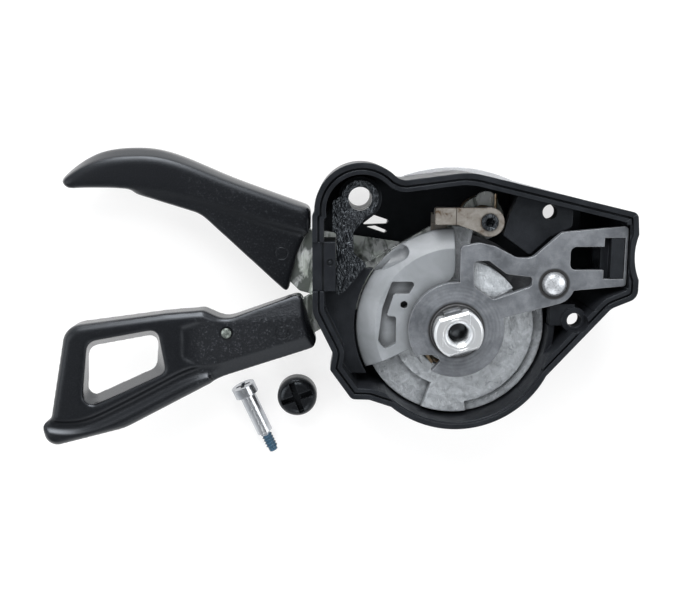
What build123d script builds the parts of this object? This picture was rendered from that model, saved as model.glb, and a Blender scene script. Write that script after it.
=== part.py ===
"""Trigger gear shifter for a bicycle, opened on its base side.

Lengths are in mm. The main axle stands on the origin along Z, and Z = 0 is the flat of
the outer cover. X runs towards the cable exit, Y towards the mounting ear.
"""

import math
import os

from build123d import *

# Outer cover and case, with outlines as corners (x, y, radius)
LEFT_X = -27.7
RIGHT_X = 34.3
TOP_Y = 30.25
COVER_H = 3.5
COVER_WALL = 1.2
COVER_EDGE = 1.2
FLOOR_T = 1.5
RIM_Z = 23.0
WALL = 2.2
RIM_LAND = 1.0
RIM_GROOVE_W = 0.4
RIM_GROOVE_D = 0.9
EAR_AT = (-18.6, 25.1)
EAR_CENTRE = (-18.3, 23.0)
EAR_R = 9.0
EAR_BLEND = 3.0
BAY_CLEAR = 0.35
BAY_WALL = 1.2
LEVER_GATE_H = 12.5
LEVER_GATE_X = -17.6
LEVER_GATE_Y = (-9.0, 20.5)
SHELF_T = 1.6
SHELF_Y = (-9.5, 11.5)
RIB_SPAN = (-24.0, 1.0)
RIB_TOP = 19.0
BODY_OUTLINE = (
    (LEFT_X, 22.4, 1.0),
    (-22.0, 27.2, 2.0),
    (1.9, TOP_Y, 14.0),
    (RIGHT_X - 0.7, 22.6, 1.4),
    (RIGHT_X, 14.0, 0.5),
    (RIGHT_X, 6.4, 2.2),
    (29.4, 4.4, 3.0),
    (13.6, -13.1, 4.0),
    (0.0, -17.0, 6.0),
    (-12.6, -15.0, 3.0),
    (-16.8, -13.6, 2.0),
    (-20.2, -13.5, 1.4),
    (-24.4, -7.6, 0.8),
    (-23.8, -4.4, 1.6),
    (LEFT_X, 3.6, 5.0),
)
COVER_OUTLINE = (
    (-11.6, 28.2, 1.5),
    (0.9, 33.2, 30.0),
    (13.4, 27.9, 1.0),
    (RIGHT_X - 0.7, 22.6, 2.4),
    (RIGHT_X - 0.4, 6.4, 2.6),
    (29.4, 4.4, 3.0),
    (12.4, -14.4, 6.0),
    (1.0, -19.6, 12.0),
    (-13.0, -16.0, 4.0),
    (-20.4, -12.8, 3.0),
    (-24.0, -6.0, 3.0),
    (-24.5, 9.0, 4.0),
    (-13.0, 16.0, 4.0),
)
FLOOR_GAPS = (
    ((-18.0, 18.9, 0.2), (-15.4, 20.9, 0.2), (-12.2, 19.8, 0.2), (-12.9, 19.1, 0.1)),
    ((-17.2, 18.5, 0.1), (-15.2, 18.7, 0.1), (-12.5, 17.6, 0.1), (-13.3, 17.2, 0.1)),
)
WALL_TURNS = (8.5, 33.9, 114.0, 155.9, 219.0, 316.1)

# Screw places in the base, each with a slanted relief below it
SCREW_HOLE_R = 1.42
SCREW_BOSS_R = 2.5
SCREW_HEAD_CLEAR = 2.0
SCREW_SKIN = 3.2
PAD_SCREW_AT = (17.6, 22.6)
PAD_T = 2.2
PAD_RELIEF = (0.232, -0.072)
PAD_OUTLINE = (
    (8.8, 18.2, 0.4),
    (9.8, 21.9, 1.5),
    (12.0, 27.0, 0.5),
    (22.0, 27.0, 0.5),
    (22.0, 19.8, 1.0),
    (17.6, 17.8, 1.5),
    (14.0, 14.4, 0.5),
)
PAD_LEG = ((12.4, 17.6, 0.4), (12.4, 27.0, 0.4), (22.0, 27.0, 0.4), (22.0, 18.8, 0.4))
PAD_FOOT = ((21.6, 18.6, 0.4), (21.6, 27.0, 0.4), (25.6, 27.0, 0.4), (25.6, 18.6, 0.4))
PAD_FOOT_TOP = 12.0
BOSS_SCREW_AT = (23.1, 1.6)
BOSS_RELIEF = (0.264, -0.194)
BOSS_ARM_AT = (20.8, 2.6)
BOSS_ARM = (4.8, 4.2)
RELIEF_R = 1.9

# Cable line through the case, along X
CABLE_Y = 13.9
CABLE_Z = 17.2
CABLE_BORE_R = 2.5
CABLE_WALL_R = 3.1
EXIT_BOSS_W = 8.2
EXIT_BOSS_X = 27.6
EXIT_TONGUE_X = 29.1
EXIT_TONGUE_L = 2.5
EXIT_TONGUE_W = 7.7
EXIT_SADDLE_R = 12.0
EXIT_SADDLE_DEPTH = 1.0
PORT_BORE_R = 3.3
PORT_BOSS_W = 9.4
PORT_BOSS_IN = 4.4
PORT_DROP = 1.5
PORT_BOSS_TOP = 22.5

# Running fits
SHAFT_CLEAR = 0.05
RUN_GAP = 0.3
SIDE_GAP = 0.1

# Main axle and what is stacked on it
AXLE_R = 3.0
AXLE_FLANGE_R = 5.5
AXLE_FLANGE_T = 1.1
AXLE_BORE_R = 2.1
AXLE_BORE_D = 6.0
SPACER_R = 4.6
SPACER_H = 1.9
LEVER_PLATE_T = 1.6
RATCHET_H = 2.6
RING_H = 2.3
DISC_H = 2.0
DRUM_H = 4.0
TOP_GAP = 0.7
TOP_PLATE_T = 1.5
WASHER_T = 0.6
NUT_H = 3.6
NUT_R = 4.7
NUT_FLATS = 7.5
NUT_TURN = 16.0
BORE_CHAMFER = 0.4
WASHER_R = 5.1

# Winder
INDEX_STEP = 22.0
INDEX_STEPS = 2
DISC_R = 18.0
DISC_WAIST_R = 13.6
DISC_STEP_R = 12.4
DISC_RIM_R = 15.8
DISC_STEP_H = 1.2
DISC_STEP_TURNS = (250.0, 279.0)
DISC_HUB_R = 6.2
CAM_IN_R = 8.6
CAM_SPAN = (36.0, 77.0)
TAB_R = 19.5
TAB_SPAN = (79.0, 91.0)
DISC_END = 12.0
DRUM_SPAN = (91.0, 205.5)
DRUM_R = 19.3
DRUM_TOP_R = 15.6
DRUM_IN_R = 9.0
DRUM_LIP = 0.3
DRUM_CORNER = 3.0
DRUM_SLOT_D = 1.6
DRUM_SLOT = (
    (-12.4, 9.1, 0.6),
    (-7.7, 9.1, 0.6),
    (-9.0, 6.7, 0.4),
    (-12.0, 6.7, 0.6),
    (-13.4, 2.3, 0.4),
    (-11.5, 2.3, 0.6),
    (-11.5, -3.2, 0.8),
    (-13.7, -4.3, 0.8),
    (-15.0, -2.6, 1.0),
    (-14.2, 4.0, 1.0),
)
DRAIN_AT = (-10.0, 4.6)
DRAIN_R = 0.7
SCOOP_AT = (-16.6, 12.3)
SCOOP_DIR = (1.0, 0.33, -0.08)
SCOOP_R = 1.8
SCOOP_L = 6.4
CABLE_D = 1.2
NOTCH_DEPTH = 1.2
NOTCH_W = 3.0
RATCHET_R = 8.0
TOOTH_DEPTH = 1.0

# Hold pawl and the pin that it shares with the release lever
PIN_R = 1.6
PIN_CLEAR = 1.98
PIN_TURN = 73.58
PAWL_EYE_R = 2.8
PAWL_T = 2.6
PAWL_NOSE_X = -4.3
PAWL_NOSE_W = 3.2
PAWL_LEG_W = 3.2
PAWL_LEG_T = 1.8
CLAW_T = 1.7

# Feed pawl on the main lever
FEED_AT_R = 11.5
FEED_AT_TURN = 230.0
FEED_TIP_TURN = 262.0
FEED_LIFT = 10.0
FEED_PIN_R = 1.2
FEED_EYE_R = 2.2
FEED_TIP_W = 0.8
FEED_T = 2.2

# Top plate
HUB_RING_R = 9.3
POST_R = 1.5
POST_BODY_R = 1.8
POST_CLEAR = 0.77
POST_TURN = 25.94
SEAT_WALL = 1.3
POST_SEAT_H = 3.0
POST_HEAD_R = 2.35
POST_HEAD_H = 0.7
POST_EYE_R = 4.0
SLOT_W = 4.5
SLOT_X = 21.4
SLOT_CORNER = 1.2
PLATE_END_X = 32.2
PLATE_GAP_X = 27.8
PLATE_END_Y = (8.6, 20.1)
PLATE_ARM = (
    (0.5, 4.0, 0.5),
    (0.5, 16.2, 1.0),
    (4.1, 16.9, 2.0),
    (7.2, 16.2, 2.0),
    (11.3, 14.0, 2.5),
    (14.2, 14.0, 2.5),
    (19.7, 18.9, 1.6),
    (PLATE_END_X, PLATE_END_Y[1], 0.8),
    (PLATE_END_X, PLATE_END_Y[0], 0.6),
    (22.2, 7.7, 1.0),
    (19.0, 5.0, 1.0),
    (9.0, 2.4, 1.0),
)
PLATE_WINDOW = (
    (3.1, 13.4, 0.8),
    (5.9, 13.5, 1.0),
    (9.4, 10.9, 2.0),
    (14.3, 10.3, 0.6),
    (14.3, 8.6, 0.8),
    (7.0, 5.9, 1.2),
    (3.2, 8.4, 1.4),
)
PLATE_NOTCH = ((-7.6, -4.9, 0.3), (-3.6, -4.9, 0.3), (-3.0, -6.2, 0.3), (-5.2, -8.6, 0.3))

# Mounting plate
MOUNT_PLATE_Z = 18.0
MOUNT_PLATE_T = 2.0
MOUNT_HOLE_R = 2.25
MOUNT_FLOOR_R = 2.7
MOUNT_BOSS_R = 4.2
MOUNT_EYE_R = 3.6
MOUNT_LEFT = LEFT_X + PORT_BOSS_IN + SIDE_GAP
MOUNT_OUTLINE = (
    (-23.9, 25.0, 1.5),
    (-23.9, 18.9, 0.3),
    (MOUNT_LEFT, 18.4, 0.3),
    (MOUNT_LEFT, 6.2, 0.5),
    (-21.4, 7.4, 0.5),
    (-17.2, 12.4, 0.6),
    (-19.8, 14.6, 1.2),
    (-19.9, 18.6, 0.8),
    (-15.9, 23.6, 1.2),
    (-18.0, 27.0, 2.0),
)

# Levers
MAIN_ARM_Y = (5.6, 17.4)
MAIN_ARM_END = -36.5
MAIN_WAIST = (-14.0, 1.0)
PADDLE_ROOT_X = -28.4
PADDLE_REACH = 79.2
PADDLE_Z = 3.2
PADDLE_H = 7.9
PADDLE_TOP_EDGE = 0.8
PADDLE_LOW_EDGE = 1.2
PADDLE_FLANK = 0.55
PADDLE_NORTH = (
    (0.919, 31.7, 1.6),
    (0.837, 33.8, 2.0),
    (0.713, 34.7, 2.0),
    (0.624, 34.5, 1.8),
    (0.51, 32.9, 1.4),
    (0.348, 29.4, 1.0),
    (0.187, 26.3, 0.8),
)
PADDLE_SOUTH = ((0.27, 21.3), (0.5, 24.9), (0.758, 26.6))
PADDLE_ROOT_Y = (17.4, 22.9)
PADDLE_TIP = ((0.952, 26.6, 0.0), (0.988, 27.0, 0.0), (1.0, 28.2, 0.0))
PADDLE_TIP_IN = 1.2
WEB_Z = 5.4
WEB_H = 4.6
WEB_FOOT = 33.2
RELEASE_T = 1.6
RELEASE_ARM_W = 7.4
RELEASE_EYE_R = 4.4
JOGGLE_RUN = 2.2
JOGGLE_RISE = 3.4
GRIP_GAP = 0.4
GRIP_H = 6.2
GRIP_REACH = 82.9
GRIP_BEVEL = 1.1
GRIP_SINK = 0.5
GRIP_GROOVE_R = 1.4
GRIP_TILT_LOW = 24.0
GRIP_TILT_HIGH = 18.0
GRIP_TILT_END = 62.0
GRIP_OUTLINE = (
    (0.064, 6.2, 1.4),
    (0.334, 0.9, 5.0),
    (0.409, 2.9, 1.6),
    (0.54, 2.3, 6.0),
    (0.899, -0.4, 4.0),
    (0.966, -19.5, 1.3),
    (1.0, -20.7, 1.4),
    (0.984, -25.6, 2.6),
    (0.7, -21.4, 12.0),
    (0.345, -10.8, 14.0),
    (0.005, -4.6, 1.6),
)
WINDOW_FAR = ((0.84, -5.6, 2.0), (0.849, -16.2, 1.4), (0.6, -9.8, 2.0), (0.583, -2.9, 1.6))
WINDOW_NEAR = ((0.817, -3.2, 2.2), (0.851, -17.7, 2.0), (0.54, -9.6, 1.6), (0.568, -0.6, 1.6))
ARM_SINK = (
    (0.485, -0.4, 0.4),
    (0.424, 0.7, 0.6),
    (0.348, 0.4, 0.6),
    (0.3, 4.4, 0.4),
    (-0.1, 10.0, 0.4),
    (-0.1, -12.0, 0.4),
    (0.345, -13.0, 0.4),
    (0.42, -8.6, 1.0),
    (0.487, -6.6, 1.0),
)
LIP_LINE = (
    (1.03, -19.6),
    (0.931, -20.9),
    (0.854, -20.7),
    (0.744, -18.3),
    (0.543, -12.4),
    (0.433, -9.6),
    (0.336, -9.0),
    (0.22, -10.4),
)
GRIP_RIVET = (0.327, -1.6)
TONGUE_L = 11.0
TONGUE_TURN = 195.0
GRIP_ROOT = (-26.6, 2.0)
GRIP_RIVET_R = 1.05
GRIP_RIVET_HEAD = 0.25

# Springs
WIRE = 0.8
LEVER_WIRE = 0.7
WINDER_COIL_R = 7.5
LEVER_COIL_R = 6.2
PIN_COIL_R = 2.4
PIN_WIRE = 0.6
RELEASE_COIL_R = 3.9
WINDER_LEG = 3.0
LEVER_LEG = 5.0
PAWL_LEG = 5.0
RELEASE_LEG = 4.0

# Loose pieces lying beside the case
SCREW_HEAD_R = 2.6
SCREW_HEAD_H = 2.2
SCREW_SHANK_R = 1.72
SCREW_SHANK_L = 9.4
SCREW_TIP_R = 1.2
SCREW_TIP_L = 4.8
SCREW_AT = (-43.5, -16.1)
SCREW_TURN = -67.0
PLUG_AT = (-31.6, -17.6)
PLUG_HEAD_R = 4.2
PLUG_HEAD_H = 4.2
PLUG_DOME = 1.8
PLUG_STEM_L = 3.6
PLUG_SLOT_W = 1.2
PLUG_SLOT_D = 2.0


def polar(radius, turn):
    """Point at a radius and an angle about the main axle."""
    return radius * math.cos(math.radians(turn)), radius * math.sin(math.radians(turn))


# Levels up the axle, each from the one below it
floor_top = COVER_H + FLOOR_T
main_z = floor_top + SPACER_H + SIDE_GAP
main_top = main_z + LEVER_PLATE_T
ratchet_z = main_top + RUN_GAP
ring_z = ratchet_z + RATCHET_H
disc_z = ring_z + RING_H
drum_z = disc_z + DISC_H
drum_top = drum_z + DRUM_H
plate_z = drum_top + TOP_GAP
plate_top = plate_z + TOP_PLATE_T
washer_top = plate_top + WASHER_T
nut_top = washer_top + NUT_H
release_z = main_top + RUN_GAP + RUN_GAP
release_top = release_z + RELEASE_T
grip_z = PADDLE_Z + PADDLE_H + GRIP_GAP
grip_top = grip_z + GRIP_H
pawl_z = drum_top + 3 * RUN_GAP - PAWL_T
claw_top = disc_z - RUN_GAP
bay_r = DISC_R + BAY_CLEAR
drum_clear_r = DRUM_R + RUN_GAP + SIDE_GAP
screw_top = plate_z - RUN_GAP
pin_hole_r = PIN_R + SHAFT_CLEAR
pin_at = polar(DISC_R + PIN_R + PIN_CLEAR, PIN_TURN)
post_at = polar(DISC_R + POST_BODY_R + POST_CLEAR, POST_TURN)
axle_hole_r = AXLE_R + SHAFT_CLEAR


def outline(corners):
    """Face inside straight sides, each corner (x, y, radius) rounded by its radius."""
    edges = []
    first = None
    last = None
    count = len(corners)
    for i in range(count):
        x, y, r = corners[i]
        here = Vector(x, y)
        back = (Vector(*corners[i - 1][:2]) - here).normalized()
        ahead = (Vector(*corners[(i + 1) % count][:2]) - here).normalized()
        half = math.acos(back.dot(ahead)) / 2
        middle = (back + ahead).normalized()
        run = r / math.tan(half)
        start = here + back * run
        end = here + ahead * run
        if last is not None:
            edges.append(Line(last, start))
        else:
            first = start
        edges.append(ThreePointArc(start, here + middle * (r / math.sin(half) - r), end))
        last = end
    edges.append(Line(last, first))
    face = Face(Wire(edges))
    return face if face.normal_at().Z > 0 else -face


def slab(face, low, high, taper=0.0):
    """Flat face raised from one level to another."""
    return Pos(0, 0, low) * extrude(face, high - low, dir=(0, 0, 1), taper=taper)


def rod(radius, low, high, at=(0, 0)):
    """Upright cylinder between two levels."""
    return Pos(at[0], at[1], low) * extrude(Circle(radius), high - low)


def block(x, y, z):
    """Box between two limits on each axis."""
    size = Box(x[1] - x[0], y[1] - y[0], z[1] - z[0], align=(Align.MIN, Align.MIN, Align.MIN))
    return Pos(x[0], y[0], z[0]) * size


def sector(inner, outer, span):
    """Face between two radii over a span of angles about the main axle."""
    middle = (span[0] + span[1]) / 2
    edges = [
        Line(polar(inner, span[0]), polar(outer, span[0])),
        ThreePointArc(polar(outer, span[0]), polar(outer, middle), polar(outer, span[1])),
        Line(polar(outer, span[1]), polar(inner, span[1])),
        ThreePointArc(polar(inner, span[1]), polar(inner, middle), polar(inner, span[0])),
    ]
    face = Face(Wire(edges))
    return face if face.normal_at().Z > 0 else -face


def coil(radius, wire, turns, low, at=(0, 0), leg=4.0):
    """Round wire wound close about an axis, with one straight leg off its top end."""
    path = Helix(wire * 1.15, wire * 1.15 * turns, radius)
    end = path @ 1
    along = (path % 1).normalized()
    leg_path = Line(end, end + Vector(along.X, along.Y, 0) * leg)
    wound = sweep(Plane(path @ 0, z_dir=path % 0) * Circle(wire / 2), path=path)
    straight = extrude(Plane(end, z_dir=leg_path % 0) * Circle(wire / 2), leg)
    return Pos(at[0], at[1], low + wire / 2) * (wound + straight)


def body_face(inset=0.0):
    """Plan of the case without its ear, set in from its outer face."""
    plan = outline(BODY_OUTLINE)
    if inset:
        plan = offset(plan, -inset)
    return plan + Circle(bay_r + BAY_WALL - inset)


def case_face(inset=0.0):
    """Plan of the case with its mounting ear and the hollow end at the cable exit."""
    plan = body_face(inset) + Pos(*EAR_CENTRE) * Circle(EAR_R - inset)
    valley = (EAR_CENTRE[0] + EAR_R, EAR_CENTRE[1] + EAR_R)
    plan = fillet(plan.vertices().sort_by_distance(valley)[0], EAR_BLEND + inset)
    saddle_x = RIGHT_X - EXIT_SADDLE_DEPTH + EXIT_SADDLE_R
    saddle = Pos(saddle_x, CABLE_Y + 0.8) * Circle(EXIT_SADDLE_R + inset)
    return plan - saddle


def cover_face(inset=0.0):
    """Plan of the outer cover, which stops short of the mounting ear."""
    plan = outline(COVER_OUTLINE)
    return offset(plan, -inset) if inset else plan


def relief(at, lean):
    """Slanted clearance below a screw's skin, open on the far side."""
    drop = Vector(lean[0], lean[1], -1)
    start = Plane((at[0], at[1], screw_top), z_dir=drop)
    core = extrude(start * Circle(RELIEF_R), 2 * RIM_Z)
    return core & block((LEFT_X, 2 * RIGHT_X), (-RIGHT_X, RIGHT_X), (-RIM_Z, screw_top - SCREW_SKIN))


def make_outer_cover():
    """Silver-grey pan on the far side, open towards the case."""
    pan = slab(cover_face(), 0, COVER_H)
    pan = chamfer(pan.faces().sort_by(Axis.Z)[0].edges(), COVER_EDGE)
    pan -= slab(cover_face(COVER_WALL + COVER_EDGE), COVER_WALL, COVER_H)
    return pan - relief(PAD_SCREW_AT, PAD_RELIEF) - relief(BOSS_SCREW_AT, BOSS_RELIEF)


def port_sides():
    """Limits of the cable port boss along Y."""
    middle = CABLE_Y - PORT_DROP
    return middle - PORT_BOSS_W / 2, middle + PORT_BOSS_W / 2


def inner_face():
    """Plan of the hollow inside the case."""
    return case_face(WALL) + Circle(bay_r)


def make_case_floor():
    """Floor of the case, with the seats for the pins and the way through for light and bolts."""
    floor = slab(inner_face(), COVER_H, floor_top)
    for gap in FLOOR_GAPS:
        floor -= slab(outline(gap), COVER_H, floor_top)
    floor += rod(PIN_R + SEAT_WALL, floor_top, release_z - SIDE_GAP, pin_at)
    floor -= rod(PIN_R, COVER_H, release_z, pin_at)
    floor += rod(POST_BODY_R + SEAT_WALL, floor_top, floor_top + POST_SEAT_H, post_at)
    floor -= rod(POST_BODY_R, floor_top, floor_top + POST_SEAT_H, post_at)
    floor -= rod(AXLE_R, COVER_H, floor_top)
    floor -= rod(MOUNT_FLOOR_R, COVER_H, floor_top, EAR_AT)
    return floor - relief(PAD_SCREW_AT, PAD_RELIEF) - relief(BOSS_SCREW_AT, BOSS_RELIEF)


def case_walls():
    """All walls of the case in one, with the grooved rim, the lever gate and the cable's ways out."""
    walls = slab(case_face() - inner_face(), COVER_H, RIM_Z)
    groove = case_face(RIM_LAND) - case_face(RIM_LAND + RIM_GROOVE_W)
    walls -= slab(groove, RIM_Z - RIM_GROOVE_D, RIM_Z)

    # Levers leave through a gate in the left wall, and the cable port boss stands in a notch
    gate_x = (LEFT_X - WALL, LEVER_GATE_X)
    walls -= block(gate_x, LEVER_GATE_Y, (floor_top, floor_top + LEVER_GATE_H))
    walls -= block((LEFT_X - WALL, LEFT_X + PORT_BOSS_IN), port_sides(), (floor_top, RIM_Z))

    # Way out for the cable, and a pocket for the end of the top plate
    bore = Plane((EXIT_BOSS_X, CABLE_Y, CABLE_Z), z_dir=(1, 0, 0)) * Circle(CABLE_WALL_R)
    walls -= extrude(bore, RIGHT_X - EXIT_BOSS_X + WALL)
    pocket_y = (PLATE_END_Y[0] - RUN_GAP, PLATE_END_Y[1] + RUN_GAP)
    walls -= block((EXIT_BOSS_X, PLATE_END_X + RUN_GAP), pocket_y, (screw_top, RIM_Z))

    # Room for the lower screw boss
    walls -= rod(SCREW_BOSS_R, floor_top, screw_top, BOSS_SCREW_AT)
    walls -= rod(SCREW_HEAD_CLEAR, screw_top, RIM_Z, BOSS_SCREW_AT)
    return walls - relief(PAD_SCREW_AT, PAD_RELIEF) - relief(BOSS_SCREW_AT, BOSS_RELIEF)


def make_case_walls():
    """The walls, parted at the corners of the case so that each is a simple strip."""
    names = ("case_wall_upper", "case_wall_ear", "case_wall_left", "case_wall_bay", "case_wall_lower")
    walls = case_walls()
    parts = {"case_wall_end": walls & slab(sector(bay_r / 2, 2 * RIGHT_X, WALL_TURNS[:2]), COVER_H, RIM_Z)}
    turns = (*WALL_TURNS[1:], WALL_TURNS[0] + 360)
    for name, start, end in zip(names, turns, turns[1:]):
        parts[name] = walls & slab(sector(bay_r / 2, 2 * RIGHT_X, (start, end)), COVER_H, RIM_Z)

    # Shelf over the levers, under the mounting plate
    deep = SHELF_Y[1] - SHELF_Y[0]
    shelf = inner_face() & Pos(LEFT_X, sum(SHELF_Y) / 2) * Rectangle(-1.3 * LEFT_X, deep)
    shelf = slab(shelf - Circle(drum_clear_r), MOUNT_PLATE_Z - SHELF_T, MOUNT_PLATE_Z)
    shelf -= block((LEFT_X - WALL, LEFT_X + PORT_BOSS_IN), port_sides(), (floor_top, RIM_Z))
    parts["case_wall_left"] += shelf

    # Rib that carries the bay's round wall on past the lower wall
    rib = sector(bay_r, bay_r + BAY_WALL, RIB_SPAN) & inner_face()
    rib -= Pos(*BOSS_SCREW_AT) * Circle(SCREW_BOSS_R)
    parts["case_wall_lower"] += slab(rib, floor_top, RIB_TOP)
    return parts


def make_screw_pad():
    """Raised pad inside the upper wall, with its screw hole."""
    room = case_face(WALL) - Circle(drum_clear_r) - Pos(*pin_at) * Circle(PAWL_EYE_R + 0.4)
    pad = slab(outline(PAD_OUTLINE) & room, screw_top - PAD_T, screw_top)
    pad += slab(outline(PAD_LEG) & room, floor_top, screw_top - PAD_T)
    pad += slab(outline(PAD_FOOT) & room, floor_top, PAD_FOOT_TOP)
    pad -= rod(SCREW_HOLE_R, screw_top - SCREW_SKIN, screw_top, PAD_SCREW_AT)
    return pad - relief(PAD_SCREW_AT, PAD_RELIEF)


def make_screw_boss():
    """Boss in the lower wall, with its screw hole."""
    boss = rod(SCREW_BOSS_R, floor_top, screw_top, BOSS_SCREW_AT)
    arm = Pos(*BOSS_ARM_AT) * Rectangle(*BOSS_ARM) - Circle(bay_r + SIDE_GAP)
    boss += slab(arm & inner_face(), screw_top - SCREW_SKIN, screw_top - RUN_GAP)
    boss -= rod(SCREW_HOLE_R, screw_top - SCREW_SKIN, screw_top, BOSS_SCREW_AT)
    return boss - relief(BOSS_SCREW_AT, BOSS_RELIEF)


def make_mount_boss():
    """Tube under the mounting plate, round the mounting bolt."""
    tube = rod(MOUNT_BOSS_R, floor_top, MOUNT_PLATE_Z, EAR_AT)
    return tube - rod(MOUNT_HOLE_R, floor_top, MOUNT_PLATE_Z, EAR_AT)


def make_port_boss():
    """Block across the left wall that takes the cable port's plug."""
    inner = LEFT_X + PORT_BOSS_IN
    low = CABLE_Z - PORT_BORE_R - 1.0
    boss = block((LEFT_X, inner), port_sides(), (low, PORT_BOSS_TOP))
    port = Plane((LEFT_X, CABLE_Y - PORT_DROP, CABLE_Z), z_dir=(1, 0, 0)) * Circle(PORT_BORE_R)
    return boss - extrude(port, PORT_BOSS_IN)


def make_exit_boss():
    """Block inside the right wall, which stands up through the end of the top plate."""
    low = CABLE_Z - CABLE_BORE_R - 1.5
    wide = Pos(sum((EXIT_BOSS_X, RIGHT_X)) / 2, CABLE_Y) * Rectangle(RIGHT_X - EXIT_BOSS_X, EXIT_BOSS_W)
    boss = slab(wide & case_face(WALL), low, screw_top)
    tall = Pos(EXIT_TONGUE_X + EXIT_TONGUE_L / 2, CABLE_Y) * Rectangle(EXIT_TONGUE_L, EXIT_TONGUE_W)
    boss += slab(tall, screw_top, plate_top)
    bore = Plane((EXIT_BOSS_X, CABLE_Y, CABLE_Z), z_dir=(1, 0, 0)) * Circle(CABLE_BORE_R)
    return boss - extrude(bore, RIGHT_X - EXIT_BOSS_X)


def make_mount_plate():
    """Steel plate that takes the mounting bolt, lying on its boss and the shelf."""
    plan = outline(MOUNT_OUTLINE) + Pos(*EAR_AT) * Circle(MOUNT_EYE_R)
    plate = slab(plan, MOUNT_PLATE_Z, MOUNT_PLATE_Z + MOUNT_PLATE_T)
    return plate - rod(MOUNT_HOLE_R, MOUNT_PLATE_Z, MOUNT_PLATE_Z + MOUNT_PLATE_T, EAR_AT)


def make_main_axle():
    """Axle fixed in the floor, bored and tapped at its open end."""
    axle = rod(AXLE_FLANGE_R, COVER_H - AXLE_FLANGE_T, COVER_H)
    axle += rod(AXLE_R, COVER_H, nut_top)
    axle -= rod(AXLE_BORE_R, nut_top - AXLE_BORE_D, nut_top)
    mouth = axle.faces().sort_by(Axis.Z)[-1].edges().sort_by(SortBy.LENGTH)[0]
    return chamfer(mouth, BORE_CHAMFER)


def make_lever_spacer():
    """Collar that carries the main lever clear of the floor."""
    return rod(SPACER_R, floor_top, floor_top + SPACER_H) - rod(AXLE_R, floor_top, main_z)


def make_axle_nut():
    """Round nut with two flats."""
    plan = Circle(NUT_R) & Rectangle(2 * NUT_R, NUT_FLATS)
    nut = slab(Rot(0, 0, NUT_TURN) * plan, washer_top, nut_top)
    nut = chamfer(nut.faces().sort_by(Axis.Z)[-1].edges(), BORE_CHAMFER)
    return nut - rod(AXLE_R, washer_top, nut_top)


def make_lock_washer():
    """Thin washer with two tabs turned up against the flats of the nut."""
    washer = rod(WASHER_R, plate_top, washer_top) - rod(AXLE_R, plate_top, washer_top)
    for side in (1, -1):
        near = NUT_FLATS / 2
        tab = block((-1.6, 1.6), (near, near + WASHER_T), (plate_top, washer_top + NUT_H / 2))
        washer += Rot(0, 0, NUT_TURN + 90 - 90 * side) * tab
    return washer


def top_plate_face():
    """Plan of the retaining plate: hub ring, arm, post eye and slotted end."""
    plan = outline(PLATE_ARM) + Circle(HUB_RING_R) + Pos(*post_at) * Circle(POST_EYE_R)
    plan -= outline(PLATE_WINDOW)
    slot_end = EXIT_TONGUE_X
    half = SLOT_W / 2
    slot = (
        (SLOT_X, CABLE_Y - half, SLOT_CORNER),
        (slot_end, CABLE_Y - half, SIDE_GAP),
        (slot_end, CABLE_Y + half, SIDE_GAP),
        (SLOT_X, CABLE_Y + half, SLOT_CORNER),
    )
    plan -= outline(slot)
    far = EXIT_TONGUE_X + EXIT_TONGUE_L + SIDE_GAP
    clear = EXIT_TONGUE_W + 2 * SIDE_GAP
    plan -= Pos((PLATE_GAP_X + far) / 2, CABLE_Y) * Rectangle(far - PLATE_GAP_X, clear)
    return plan - outline(PLATE_NOTCH)


def make_top_plate():
    """Dark steel plate that holds the winder down on the axle."""
    plate = slab(top_plate_face(), plate_z, plate_top)
    plate -= rod(AXLE_R, plate_z, plate_top)
    return plate - rod(POST_R, plate_z, plate_top, post_at)


def make_plate_post():
    """Shouldered post from the floor, riveted over the top plate."""
    post = rod(POST_BODY_R, floor_top, plate_z, post_at)
    post += rod(POST_R, plate_z, plate_top, post_at)
    head = rod(POST_HEAD_R, plate_top, plate_top + POST_HEAD_H, post_at)
    head = chamfer(head.faces().sort_by(Axis.Z)[-1].edges(), POST_HEAD_H * 0.6)
    return post + head


def make_index_disc():
    """Cast disc: stepped ring, waist under the plate, tab and hub."""
    first = DRUM_SPAN[1] + 1.0
    last = 360 + DISC_END
    inner = DISC_HUB_R - 0.5
    plan = sector(inner, DISC_R, (DRUM_SPAN[0], last)) + sector(inner, TAB_R, TAB_SPAN)
    disc = slab(plan + Circle(DISC_WAIST_R), disc_z, drum_z)
    out, back = DISC_STEP_TURNS
    step = sector(DRUM_IN_R - 0.4, DISC_STEP_R, (first, out + 1.0))
    step += sector(DRUM_IN_R - 0.4, DISC_R - 0.3, (out, back))
    step += sector(DRUM_IN_R - 0.4, DISC_RIM_R, (back - 1.0, last))
    disc += slab(step, drum_z, drum_z + DISC_STEP_H)
    low_arc = sector(DISC_STEP_R, DISC_R + 1.0, (first, out))
    disc -= slab(low_arc, drum_z - DISC_STEP_H / 2, drum_z)
    cam = sector(CAM_IN_R, DISC_WAIST_R, CAM_SPAN)
    disc += slab(cam, drum_z, plate_z - RUN_GAP)
    disc += rod(DISC_HUB_R, drum_z, drum_top)
    return disc - rod(axle_hole_r, disc_z, drum_top)


def make_index_ring():
    """Ring with one notch for each gear, under the disc."""
    ring = rod(DISC_R, ring_z, disc_z)
    for step in range(INDEX_STEPS + 1):
        turn = claw_turn() + INDEX_STEP * step
        notch = block((DISC_R - NOTCH_DEPTH, DISC_R + 1), (-NOTCH_W / 2, NOTCH_W / 2), (ring_z, disc_z))
        ring -= Rot(0, 0, turn) * notch
    return ring - rod(axle_hole_r, ring_z, disc_z)


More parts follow.
